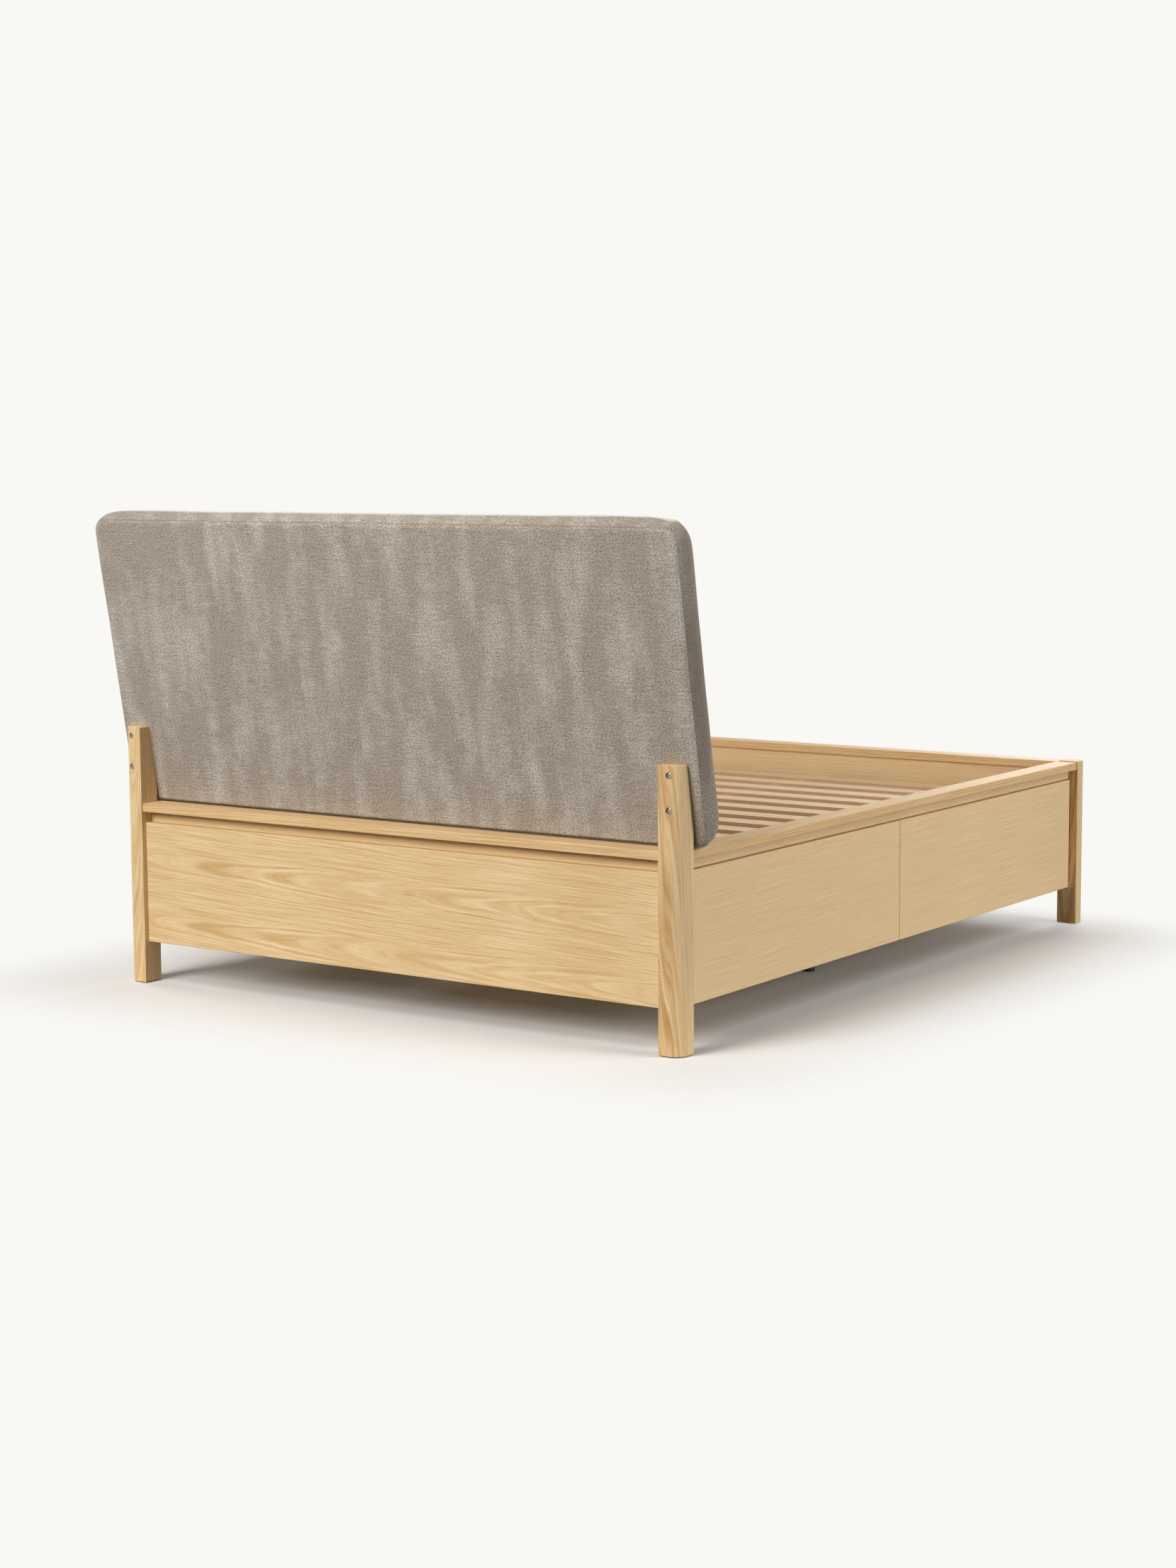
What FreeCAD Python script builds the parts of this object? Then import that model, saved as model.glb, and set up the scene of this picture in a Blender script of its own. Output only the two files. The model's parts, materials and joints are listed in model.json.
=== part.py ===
"""Oak bed frame with four side drawers and a leaning padded headboard, in millimetres.

+Z is up, X runs across the bed and +Y points to the head end. The origin is on the floor, midway across
the bed and midway between the foot face and the headboard's rear edge. "left" is the -X side.
"""
import FreeCAD
import Part
import math
import os

Vector = FreeCAD.Vector

# Overall frame
frame_width = 1734.0
frame_length = 2197.0
edge_round = 1.5

# Posts
post_size = 60.0
post_corner_radius = 32.0
head_post_height = 678.0
head_post_top_depth = 34.5
head_post_knee_radius = 500.0
foot_post_height = 481.0

# Cap rails on top of the sides and ends
rail_top = 478.0
rail_thickness = 22.0
rail_setback = 4.0
side_rail_width = 62.0
foot_rail_width = 62.0
head_rail_width = 100.0

# End panels and the aprons behind them
panel_bottom = 110.0
panel_top = 427.0
panel_thickness = 24.0
panel_setback = 14.0
end_apron_bottom = 130.0

# Drawer fronts
front_thickness = 20.0
front_setback = 23.5
front_end_gap = 3.0
front_seam_gap = 2.0
front_bottom = 110.0
front_top = 426.0
front_to_beam_gap = 2.4

# Side aprons above the drawers and the beams behind the fronts
side_apron_setback = 30.0
front_to_apron_gap = 3.0
bracket_recess = 4.0

# Slatted base
slat_top = 390.0
slat_thickness = 18.0
slat_width = 70.0
slat_count = 15
slat_end_gap = 1.0
bearer_width = 25.0
bearer_height = 20.0

# Divider between the drawers, centre beams and support legs
divider_thickness = 30.0
divider_bottom = 130.0
centre_beam_width = 40.0
centre_beam_height = 80.0
beam_rest_depth = 30.0
beam_rest_height = 40.0
leg_diameter = 28.0
leg_spacing = 1140.0
leg_glide_diameter = 32.0
leg_glide_height = 6.0
post_glide_diameter = 36.0
post_glide_height = 3.0

# Corner brackets and their countersunk screws
bracket_leg = 50.0
bracket_thickness = 2.5
bracket_slat_gap = 4.0
screw_diameter = 4.0
screw_head_diameter = 8.0
screw_depth = 12.0
screw_hole_clearance = 0.1

# Drawer boxes
box_depth = 600.0
box_bottom = 150.0
box_wall = 15.0
box_beam_gap = 10.0
drawer_bottom_thickness = 8.0
drawer_bottom_lift = 10.0
groove_depth = 6.0

# Three-piece telescopic slides
slide_length = 600.0
slide_height = 45.0
slide_width = 12.7
slide_wall = 1.5
slide_gap = 0.7
slide_end_gap = 4.0
slide_lift = 96.0

# Padded headboard
lean_degrees = 10.0
headboard_overhang = 34.0
cushion_length = 756.0
cushion_thickness = 85.0
cushion_bottom = 480.5
cushion_corner_radius = 55.0
cushion_back_radius = 10.0
cushion_front_radius = 45.0
cushion_border_bulge = 5.0
cushion_crown = 6.0
cushion_crown_reach = 220.0
least_corner_radius = 14.0
board_thickness = 18.0
board_inset = 26.0
cover_thickness = 1.5
cover_inset = 14.0

# Headboard bolts, washers and threaded inserts
bolt_diameter = 8.0
bolt_head_diameter = 13.2
bolt_head_height = 4.4
bolt_head_round = 2.0
bolt_socket_sides = 6
bolt_socket_flats = 5.0
bolt_socket_depth = 2.6
bolt_clearance = 0.3
bolt_top_drop = 24.0
bolt_spacing = 81.0
counterbore_diameter = 16.5
counterbore_depth = 9.5
washer_diameter = 15.5
washer_thickness = 1.6
insert_diameter = 12.0
insert_length = 15.0

# Places across the bed
half_width = frame_width / 2
post_inner_x = half_width - post_size
rail_outer_x = half_width - rail_setback
rail_inner_x = rail_outer_x - side_rail_width
front_face_x = half_width - front_setback
front_back_x = front_face_x - front_thickness
apron_face_x = half_width - side_apron_setback
beam_outer_x = front_back_x - front_to_beam_gap
beam_inner_x = rail_inner_x + bracket_recess
bearer_inner_x = beam_inner_x - bearer_width
slide_front_x = post_inner_x - slide_end_gap
bolt_x = half_width - post_size / 2
cushion_width = frame_width + 2 * headboard_overhang

# Places up the bed
rail_bottom = rail_top - rail_thickness
side_apron_bottom = front_top + front_to_apron_gap
slat_bottom = slat_top - slat_thickness
beam_bottom = slat_bottom - bearer_height
box_top = beam_bottom - box_beam_gap
slide_middle_z = box_bottom + slide_lift

# The headboard's plane: along_up runs up its back, forward points out of its padded face
lean = math.radians(lean_degrees)
along_up = Vector(0, math.sin(lean), math.cos(lean))
forward = Vector(0, -math.cos(lean), math.sin(lean))
cushion_set_in = head_post_top_depth + (head_post_height - cushion_bottom) * math.tan(lean)
rear_overhang = (cushion_length - cushion_back_radius) * math.sin(lean) - cushion_set_in

# Places along the bed
foot_y = -(frame_length + rear_overhang) / 2
head_y = foot_y + frame_length
foot_inner_y = foot_y + post_size
head_inner_y = head_y - post_size
middle_y = (foot_inner_y + head_inner_y) / 2
bay_face_y = {"head": middle_y + divider_thickness / 2, "foot": middle_y - divider_thickness / 2}
headboard_base = Vector(0, head_y - cushion_set_in, cushion_bottom)
headboard_turn = FreeCAD.Rotation(Vector(1, 0, 0), 90 - lean_degrees)
headboard_placement = FreeCAD.Placement(headboard_base, headboard_turn)

sides = {"left": -1, "right": 1}


def box(x_span, y_span, z_span):
    """A block between two values on each axis, given in either order."""
    low = Vector(min(x_span), min(y_span), min(z_span))
    high = Vector(max(x_span), max(y_span), max(z_span))
    size = high - low
    return Part.makeBox(size.x, size.y, size.z, low)


def eased(shape, direction, radius=edge_round):
    """The shape with the edges of its outermost flat face in that direction rounded."""
    facing = [face for face in shape.Faces if face.normalAt(0, 0).dot(direction) > 0.999]
    outermost = max(facing, key=lambda face: face.CenterOfMass.dot(direction))
    return shape.makeFillet(radius, outermost.OuterWire.Edges)


def outline(points, radii):
    """A closed wire through the points, each corner rounded by its own radius."""
    edges = []
    starts = []
    ends = []
    for index, point in enumerate(points):
        before = (points[index - 1] - point).normalize()
        after = (points[(index + 1) % len(points)] - point).normalize()
        radius = radii[index]
        half_angle = before.getAngle(after) / 2
        reach = radius / math.tan(half_angle)
        starts.append(point + before * reach)
        ends.append(point + after * reach)
        if radius > 0:
            inward = (before + after).normalize()
            middle = point + inward * (radius / math.sin(half_angle) - radius)
            edges.append(Part.Arc(starts[-1], middle, ends[-1]).toShape())
    lines = [Part.makeLine(ends[index - 1], starts[index]) for index in range(len(points))]
    return Part.Wire(Part.__sortEdges__(edges + lines))


def prism(points, radii, along):
    """A solid swept straight from an outline."""
    return Part.Face(outline(points, radii)).extrude(along)


def cylinder(diameter, start, along):
    """A round bar from a point along a vector."""
    return Part.makeCylinder(diameter / 2, along.Length, start, along)


def group(solids):
    """Separate solids kept in one node."""
    return Part.makeCompound(solids)


def on_headboard(shape):
    """A shape drawn flat, X across and Y up the headboard, moved into place."""
    placed = shape.copy()
    placed.Placement = headboard_placement.multiply(placed.Placement)
    return placed


# Posts

def post_section(side, outer_y, inner_y):
    """The post's plan, its outer corner rounded, and the rounding radii."""
    outer_x = side * half_width
    inner_x = side * post_inner_x
    plan = [(outer_x, outer_y), (inner_x, outer_y), (inner_x, inner_y), (outer_x, inner_y)]
    points = [Vector(x, y, post_glide_height) for x, y in plan]
    return points, [post_corner_radius, edge_round, edge_round, edge_round]


def foot_post(side):
    points, radii = post_section(side, foot_y, foot_inner_y)
    post = prism(points, radii, Vector(0, 0, foot_post_height - post_glide_height))
    return eased(post, Vector(0, 0, 1))


def head_post(side):
    """A post whose front face leans back above the knee, to carry the headboard."""
    points, radii = post_section(side, head_y, head_inner_y)
    post = prism(points, radii, Vector(0, 0, head_post_height - post_glide_height))
    knee_z = head_post_height - (post_size - head_post_top_depth) / math.tan(lean)
    profile = [
        (head_y, 0),
        (head_y, head_post_height),
        (head_y - head_post_top_depth, head_post_height),
        (head_inner_y, knee_z),
        (head_inner_y, 0),
    ]
    start_x = side * half_width
    profile_points = [Vector(start_x, y, z) for y, z in profile]
    blade = prism(profile_points, [0, 0, 0, head_post_knee_radius, 0], Vector(-side * post_size, 0, 0))
    post = eased(post.common(blade), Vector(0, 0, 1))
    for bolt in headboard_bolts_on(side):
        post = post.cut(bolt["bore"])
    return post


# Headboard fasteners

def headboard_bolts_on(side):
    """The two bolts of one post, square to the headboard: bore, bolt, washer, insert and its hole."""
    bolts = []
    for step in range(2):
        mouth_z = head_post_height - bolt_top_drop - step * bolt_spacing
        mouth = Vector(side * bolt_x, head_y, mouth_z)
        seat = mouth + forward * counterbore_depth
        board_depth = forward.dot(headboard_base + Vector(side * bolt_x, 0, 0) - seat)
        board_face = seat + forward * (board_depth + cover_thickness)
        insert_end = board_face + forward * insert_length
        washer_top = seat - forward * washer_thickness
        hole_diameter = bolt_diameter + 2 * bolt_clearance
        counterbore = cylinder(counterbore_diameter, seat, forward * -2 * counterbore_depth)
        hole = cylinder(hole_diameter, seat, insert_end - seat)
        head = cylinder(bolt_head_diameter, washer_top, forward * -bolt_head_height)
        head = eased(head, forward * -1, bolt_head_round)
        head_top = washer_top - forward * bolt_head_height
        socket_circumradius = bolt_socket_flats / 2 / math.cos(math.pi / bolt_socket_sides)
        corners = []
        for corner in range(bolt_socket_sides):
            angle = 2 * math.pi * corner / bolt_socket_sides
            spoke = Vector(1, 0, 0) * math.cos(angle) + along_up * math.sin(angle)
            corners.append(head_top + spoke * socket_circumradius)
        socket = prism(corners, [0] * len(corners), forward * bolt_socket_depth)
        shank = cylinder(bolt_diameter, washer_top, insert_end - washer_top)
        washer = cylinder(washer_diameter, seat, washer_top - seat)
        insert = cylinder(insert_diameter, board_face, insert_end - board_face)
        bolts.append({
            "bore": counterbore.fuse(hole),
            "hole": hole,
            "bolt": head.cut(socket).fuse(shank).removeSplitter(),
            "washer": washer.cut(cylinder(hole_diameter, seat, washer_top - seat)),
            "insert": insert.cut(hole),
            "insert_hole": insert,
        })
    return bolts


# Headboard

def rounded_rectangle(inset, depth):
    """A section of the headboard at a depth, drawn in from its seam line."""
    half = cushion_width / 2 - inset
    low = inset
    high = cushion_length - inset
    radius = max(cushion_corner_radius - inset, least_corner_radius)
    plan = [(-half, low), (half, low), (half, high), (-half, high)]
    return outline([Vector(x, y, depth) for x, y in plan], [radius] * 4)


def headboard_slab(inset, depth, thickness):
    """A flat sheet of the headboard, its corners rounded like the seam line."""
    return on_headboard(Part.Face(rounded_rectangle(inset, depth)).extrude(Vector(0, 0, thickness)))


def cushion_sections():
    """Depth and inset of each section: rounded back edge, bulging border, round front edge and crown."""
    sections = []
    for degrees in (0, 30, 60, 90):
        angle = math.radians(degrees)
        depth = cushion_back_radius * (1 - math.cos(angle))
        sections.append((depth, cushion_back_radius * (1 - math.sin(angle))))
    border_start = cushion_back_radius
    border_end = cushion_thickness - cushion_front_radius
    for share in (1 / 3, 2 / 3, 1):
        depth = border_start + (border_end - border_start) * share
        sections.append((depth, -cushion_border_bulge * math.sin(math.pi / 2 * share)))
    for degrees in (15, 30, 45, 60, 75):
        angle = math.radians(degrees)
        depth = border_end + cushion_front_radius * math.sin(angle)
        sections.append((depth, cushion_front_radius * (1 - math.cos(angle)) - cushion_border_bulge))
    face_inset = cushion_front_radius - cushion_border_bulge
    for share in (0, 1 / 3, 2 / 3, 1):
        rise = cushion_crown * math.sin(math.pi / 2 * share)
        sections.append((cushion_thickness + rise, face_inset + cushion_crown_reach * share))
    return sections


def headboard_cushion():
    """Foam and cover, hollowed at the back for the board and the back cover."""
    wires = [rounded_rectangle(inset, depth) for depth, inset in cushion_sections()]
    form = on_headboard(Part.makeLoft(wires, True, True))
    board_space = headboard_slab(board_inset, 0, cover_thickness + board_thickness)
    cover_space = headboard_slab(cover_inset, 0, cover_thickness)
    return form.cut(board_space).cut(cover_space)


def headboard_nodes():
    bolts = [bolt for side in sides.values() for bolt in headboard_bolts_on(side)]
    board = headboard_slab(board_inset, cover_thickness, board_thickness)
    cover = headboard_slab(cover_inset, 0, cover_thickness)
    for bolt in bolts:
        board = board.cut(bolt["insert_hole"])
        cover = cover.cut(bolt["hole"])
    return {
        "headboard_cushion": headboard_cushion(),
        "headboard_board": board,
        "headboard_back_cover": cover,
        "headboard_bolts": group([bolt["bolt"] for bolt in bolts]),
        "headboard_washers": group([bolt["washer"] for bolt in bolts]),
        "headboard_inserts": group([bolt["insert"] for bolt in bolts]),
    }


# Cap rails, panels and aprons

def side_cap_rail(side):
    across = (side * rail_outer_x, side * rail_inner_x)
    rail = box(across, (foot_inner_y, head_inner_y), (rail_bottom, rail_top))
    return eased(rail, Vector(side, 0, 0))


def end_cap_rail(toward_end, outer_y, post_face_y, width):
    """A cap rail between two posts, notched where it passes the side rails."""
    inner_y = outer_y - toward_end * width
    half_plan = [
        (post_inner_x, outer_y),
        (post_inner_x, post_face_y),
        (rail_inner_x, post_face_y),
        (rail_inner_x, inner_y),
    ]
    plan = half_plan + [(-x, y) for x, y in reversed(half_plan)]
    points = [Vector(x, y, rail_bottom) for x, y in plan]
    rail = prism(points, [0] * len(points), Vector(0, 0, rail_thickness))
    return eased(rail, Vector(0, toward_end, 0))


def end_panel(toward_end, end_y):
    outer_y = end_y - toward_end * panel_setback
    depth = (outer_y, outer_y - toward_end * panel_thickness)
    panel = box((-post_inner_x, post_inner_x), depth, (panel_bottom, panel_top))
    return eased(panel, Vector(0, toward_end, 0))


def end_apron(toward_end, end_y, post_face_y):
    """The board behind an end panel, flush with the inner faces of the posts."""
    outer_y = end_y - toward_end * (panel_setback + panel_thickness)
    apron = box((-post_inner_x, post_inner_x), (outer_y, post_face_y), (end_apron_bottom, rail_bottom))
    return apron.cut(group(bracket_screws(screw_hole_clearance)))


def side_apron(side):
    across = (side * apron_face_x, side * beam_inner_x)
    return box(across, (foot_inner_y, head_inner_y), (side_apron_bottom, rail_bottom))


def side_beam(side):
    across = (side * beam_outer_x, side * beam_inner_x)
    beam = box(across, (foot_inner_y, head_inner_y), (beam_bottom, side_apron_bottom))
    return beam.cut(group(bracket_screws(screw_hole_clearance)))


# Corner brackets

def bracket_corners():
    """Each inner corner: the side, the way to the end, and the corner's place."""
    return [
        (side, toward_end, side * beam_inner_x, face_y)
        for side in sides.values()
        for toward_end, face_y in ((-1, foot_inner_y), (1, head_inner_y))
    ]


def bracket_span():
    return slat_top + bracket_slat_gap, side_apron_bottom


def bracket_screws(clearance):
    """Countersunk screws through both legs of each bracket, or their holes if grown by a clearance."""
    screws = []
    low, high = bracket_span()
    for side, toward_end, corner_x, corner_y in bracket_corners():
        for share in (0.25, 0.75):
            z = low + (high - low) * share
            on_beam = Vector(corner_x - side * bracket_thickness, corner_y - toward_end * bracket_leg / 2, z)
            on_apron = Vector(corner_x - side * bracket_leg / 2, corner_y - toward_end * bracket_thickness, z)
            screws.append(countersunk_screw(on_beam, Vector(side, 0, 0), clearance))
            screws.append(countersunk_screw(on_apron, Vector(0, toward_end, 0), clearance))
    return screws


def countersunk_screw(face, inward, clearance):
    head_radius = screw_head_diameter / 2 + clearance
    shank_radius = screw_diameter / 2 + clearance
    head = Part.makeCone(head_radius, shank_radius, bracket_thickness, face, inward)
    shank = Part.makeCylinder(shank_radius, bracket_thickness + screw_depth, face, inward)
    return head.fuse(shank).removeSplitter()


def corner_brackets():
    brackets = []
    low, high = bracket_span()
    holes = group(bracket_screws(screw_hole_clearance))
    for side, toward_end, corner_x, corner_y in bracket_corners():
        across = (0, bracket_leg, bracket_leg, bracket_thickness, bracket_thickness, 0)
        along = (0, 0, bracket_thickness, bracket_thickness, bracket_leg, bracket_leg)
        plan = [(corner_x - side * x, corner_y - toward_end * y) for x, y in zip(across, along)]
        points = [Vector(x, y, low) for x, y in plan]
        bracket = prism(points, [0] * len(points), Vector(0, 0, high - low))
        brackets.append(bracket.cut(holes))
    return group(brackets)


# Slatted base

def slat_bearer(side):
    across = (side * beam_inner_x, side * bearer_inner_x)
    return box(across, (foot_inner_y, head_inner_y), (beam_bottom, slat_bottom))


def slats():
    half_length = beam_inner_x - slat_end_gap
    first_y = foot_inner_y + bracket_leg
    pitch = (head_inner_y - bracket_leg - slat_width - first_y) / (slat_count - 1)
    laid = []
    for index in range(slat_count):
        low_y = first_y + index * pitch
        laid.append(box((-half_length, half_length), (low_y, low_y + slat_width), (slat_bottom, slat_top)))
    return group(laid)


def divider():
    """A cross panel between the drawers, notched for the side beams and the slat bearers."""
    half_plan = [
        (beam_outer_x, divider_bottom),
        (beam_outer_x, beam_bottom),
        (bearer_inner_x, beam_bottom),
        (bearer_inner_x, slat_bottom),
    ]
    plan = half_plan + [(-x, z) for x, z in reversed(half_plan)]
    points = [Vector(x, bay_face_y["foot"], z) for x, z in plan]
    return prism(points, [0] * len(points), Vector(0, divider_thickness, 0))


def centre_beam_spans():
    """Where each centre beam runs: from an end apron to the divider."""
    return {"head": (bay_face_y["head"], head_inner_y), "foot": (foot_inner_y, bay_face_y["foot"])}


def centre_beam(span):
    across = (-centre_beam_width / 2, centre_beam_width / 2)
    return box(across, span, (slat_bottom - centre_beam_height, slat_bottom))


def beam_rests():
    """Blocks on the aprons and the divider that carry the ends of the centre beams."""
    rests = []
    across = (-centre_beam_width / 2, centre_beam_width / 2)
    top = slat_bottom - centre_beam_height
    for low_y, high_y in centre_beam_spans().values():
        for start_y, end_y in ((low_y, low_y + beam_rest_depth), (high_y - beam_rest_depth, high_y)):
            rests.append(box(across, (start_y, end_y), (top - beam_rest_height, top)))
    return group(rests)


def leg_feet(height):
    """A point on the axis of each support leg, under the divider."""
    half = leg_spacing / 2
    return [Vector(side * half, middle_y, height) for side in sides.values()]


def support_legs():
    rise = Vector(0, 0, divider_bottom - leg_glide_height)
    return group([cylinder(leg_diameter, foot, rise) for foot in leg_feet(leg_glide_height)])


def leg_glides():
    rise = Vector(0, 0, leg_glide_height)
    return group([cylinder(leg_glide_diameter, foot, rise) for foot in leg_feet(0)])


def post_glides():
    rise = Vector(0, 0, post_glide_height)
    post_middles = (foot_y + post_size / 2, head_y - post_size / 2)
    feet = [Vector(side * bolt_x, y, 0) for side in sides.values() for y in post_middles]
    return group([cylinder(post_glide_diameter, foot, rise) for foot in feet])


# Drawers and their slides

def drawer_bays():
    """The two faces that carry each drawer's slides, and the ends of its front, along the bed."""
    return {
        "head": {
            "carriers": (bay_face_y["head"], head_inner_y),
            "front": (middle_y + front_seam_gap / 2, head_inner_y - front_end_gap),
        },
        "foot": {
            "carriers": (foot_inner_y, bay_face_y["foot"]),
            "front": (foot_inner_y + front_end_gap, middle_y - front_seam_gap / 2),
        },
    }


def channel(side, carrier_y, away, near, far, height, open_far):
    """A C-shaped slide member between two distances from its carrier, open to one of them."""
    along_x = (side * slide_front_x, side * (slide_front_x - slide_length))
    low = slide_middle_z - height / 2
    high = slide_middle_z + height / 2
    depth = (carrier_y + away * near, carrier_y + away * far)
    block = box(along_x, depth, (low, high))
    if open_far:
        hollow_depth = (carrier_y + away * (near + slide_wall), carrier_y + away * far)
    else:
        hollow_depth = (carrier_y + away * near, carrier_y + away * (far - slide_wall))
    return block.cut(box(along_x, hollow_depth, (low + slide_wall, high - slide_wall)))


def slide_members(side, carriers, member):
    """The pair of slide members of one kind on both carriers of a drawer."""
    step = slide_wall + slide_gap
    mouth = slide_width - step
    pair = []
    for carrier_y, away in zip(carriers, (1, -1)):
        if member == "outer":
            pair.append(channel(side, carrier_y, away, 0, mouth, slide_height, True))
        elif member == "middle":
            pair.append(channel(side, carrier_y, away, step, mouth, slide_height - 2 * step, True))
        else:
            pair.append(channel(side, carrier_y, away, 2 * step, slide_width, slide_height - 4 * step, False))
    return pair


def drawer_nodes(end, side_name):
    """One drawer: show front, box sides, back and bottom, and the slide members that move with it."""
    side = sides[side_name]
    bay = drawer_bays()[end]
    low_y = bay["carriers"][0] + slide_width
    high_y = bay["carriers"][1] - slide_width
    rear_x = front_back_x - box_depth
    height = (box_bottom, box_top)
    depth = (side * front_back_x, side * rear_x)
    bottom_low = box_bottom + drawer_bottom_lift
    bottom = box(
        (side * (front_back_x + groove_depth), side * (rear_x + box_wall - groove_depth)),
        (low_y + box_wall - groove_depth, high_y - box_wall + groove_depth),
        (bottom_low, bottom_low + drawer_bottom_thickness),
    )
    front = box((side * front_face_x, side * front_back_x), bay["front"], (front_bottom, front_top))
    front = eased(front, Vector(side, 0, 0)).cut(bottom)
    low_side = box(depth, (low_y, low_y + box_wall), height).cut(bottom)
    high_side = box(depth, (high_y - box_wall, high_y), height).cut(bottom)
    rear = (side * rear_x, side * (rear_x + box_wall))
    back = box(rear, (low_y + box_wall, high_y - box_wall), height).cut(bottom)
    name = f"drawer_{end}_{side_name}"
    return {
        f"{name}_front": front,
        f"{name}_sides": group([low_side, high_side]),
        f"{name}_back": back,
        f"{name}_bottom": bottom,
        f"{name}_inner_slides": group(slide_members(side, bay["carriers"], "inner")),
        f"{name}_middle_slides": group(slide_members(side, bay["carriers"], "middle")),
    }


def outer_slides():
    members = []
    for side in sides.values():
        for bay in drawer_bays().values():
            members += slide_members(side, bay["carriers"], "outer")
    return group(members)


# All nodes

def build_nodes():
    nodes = {
        "head_cap_rail": end_cap_rail(1, head_y - rail_setback, head_inner_y, head_rail_width),
        "foot_cap_rail": end_cap_rail(-1, foot_y + rail_setback, foot_inner_y, foot_rail_width),
        "head_panel": end_panel(1, head_y),
        "foot_panel": end_panel(-1, foot_y),
        "head_apron": end_apron(1, head_y, head_inner_y),
        "foot_apron": end_apron(-1, foot_y, foot_inner_y),
        "corner_brackets": corner_brackets(),
        "bracket_screws": group(bracket_screws(0)),
        "slats": slats(),
        "divider": divider(),
        "beam_rests": beam_rests(),
        "support_legs": support_legs(),
        "leg_glides": leg_glides(),
        "post_glides": post_glides(),
        "outer_slides": outer_slides(),
    }
    for side_name, side in sides.items():
        nodes[f"head_post_{side_name}"] = head_post(side)
        nodes[f"foot_post_{side_name}"] = foot_post(side)
        nodes[f"side_cap_rail_{side_name}"] = side_cap_rail(side)
        nodes[f"side_apron_{side_name}"] = side_apron(side)
        nodes[f"side_beam_{side_name}"] = side_beam(side)
        nodes[f"slat_bearer_{side_name}"] = slat_bearer(side)
        for end in drawer_bays():
            nodes.update(drawer_nodes(end, side_name))
    for end, span in centre_beam_spans().items():
        nodes[f"centre_beam_{end}"] = centre_beam(span)
    nodes.update(headboard_nodes())
    return nodes


os.makedirs("parts", exist_ok=True)
for node_name, shape in build_nodes().items():
    shape.exportStep(f"parts/{node_name}.step")
    print(node_name, len(shape.Solids), "solids, valid", shape.isValid(), "volume", round(shape.Volume))
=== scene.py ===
"""Looks of an oak bed frame with four drawers and a leaning padded headboard.

Everything is in metres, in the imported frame.
"""
import json
import math

import bpy
import numpy as np
from mathutils import Matrix, Vector, noise


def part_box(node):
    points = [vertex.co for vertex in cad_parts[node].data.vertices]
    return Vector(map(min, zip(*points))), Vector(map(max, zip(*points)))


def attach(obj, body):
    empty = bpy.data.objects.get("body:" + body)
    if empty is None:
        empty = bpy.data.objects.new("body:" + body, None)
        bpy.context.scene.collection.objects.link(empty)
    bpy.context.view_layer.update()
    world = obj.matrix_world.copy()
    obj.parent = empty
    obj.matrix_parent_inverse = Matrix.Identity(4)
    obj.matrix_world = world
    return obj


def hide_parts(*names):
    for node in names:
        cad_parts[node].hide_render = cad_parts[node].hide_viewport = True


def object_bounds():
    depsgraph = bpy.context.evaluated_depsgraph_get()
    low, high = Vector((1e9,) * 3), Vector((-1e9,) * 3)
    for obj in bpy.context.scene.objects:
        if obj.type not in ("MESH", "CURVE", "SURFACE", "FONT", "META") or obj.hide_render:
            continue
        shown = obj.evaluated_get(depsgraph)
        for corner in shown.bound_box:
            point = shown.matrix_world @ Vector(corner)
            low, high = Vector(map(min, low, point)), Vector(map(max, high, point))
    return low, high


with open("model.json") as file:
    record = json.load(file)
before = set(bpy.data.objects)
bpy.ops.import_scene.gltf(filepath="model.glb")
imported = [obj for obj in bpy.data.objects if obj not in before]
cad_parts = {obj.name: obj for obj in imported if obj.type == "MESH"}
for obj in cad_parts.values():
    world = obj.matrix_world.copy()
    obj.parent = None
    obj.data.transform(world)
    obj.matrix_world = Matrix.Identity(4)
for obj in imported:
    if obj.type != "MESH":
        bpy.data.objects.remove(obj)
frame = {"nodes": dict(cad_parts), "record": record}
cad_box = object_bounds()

mm = 0.001
scene = bpy.context.scene

# Sockets of a colour mix node: its share, its two colours and its result
share_in, first_in, second_in, colour_out = 0, 6, 7, 2

# Camera, solved from the picture's own edges
picture_height = 2212
focal_pixels = 3911.29
camera_place = Vector((-4.24888, 6.32141, 1.40394))
camera_heading = -145.321
camera_dip = 6.983
camera_roll = -0.345

# Background, and a floor that fades into it round the bed and from a little inside its foot end
backdrop_colour = "#f9f8f5"
ambient_colour = "#ffffff"
ambient_strength = 0.07
floor_radius = 9.0
floor_seen_colour = "#e9e7e4"
floor_bounce_colour = "#c4c2be"
floor_fade_reach = 0.52
foot_fade = 0.3

# Oak: tones, pores drawn about three times as wide as real ones so that they show, and figure
veneer_oak = dict(pale="#eacea1", mid="#cfa870", dark="#aa7f46")
solid_oak = dict(pale="#e7c695", mid="#ba8b50", dark="#8f6230")
# Mid tone of the painted highlight on faces that look sideways
side_highlight_mid = "#d8b580"
pore_length, pore_width = 50.0 * mm, 1.4 * mm
wander_width = 70.0 * mm
band_length, band_width = 420.0 * mm, 24.0 * mm
fibre_length, fibre_width = 240.0 * mm, 2.2 * mm

# Beech: tones, flecks drawn about twice as wide as real ones, and streaks
beech_tones = dict(pale="#e2c39a", mid="#d0a878", fleck="#a8794c")
fleck_length, fleck_width = 5.0 * mm, 1.0 * mm
beech_streak_length, beech_streak_width = 300.0 * mm, 9.0 * mm

# Birch plywood: tones of its faces and of its plies in turn, figure, fibres and plies
birch_tones = dict(pale="#ead7b4", mid="#d3b585", fibre="#d9bf93")
ply_tones = dict(pale="#e0c79c", brown="#b48a58")
birch_figure_length, birch_figure_width = 260.0 * mm, 34.0 * mm
birch_fibre_length, birch_fibre_width = 18.0 * mm, 0.9 * mm
ply_thickness = 1.4 * mm

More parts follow.
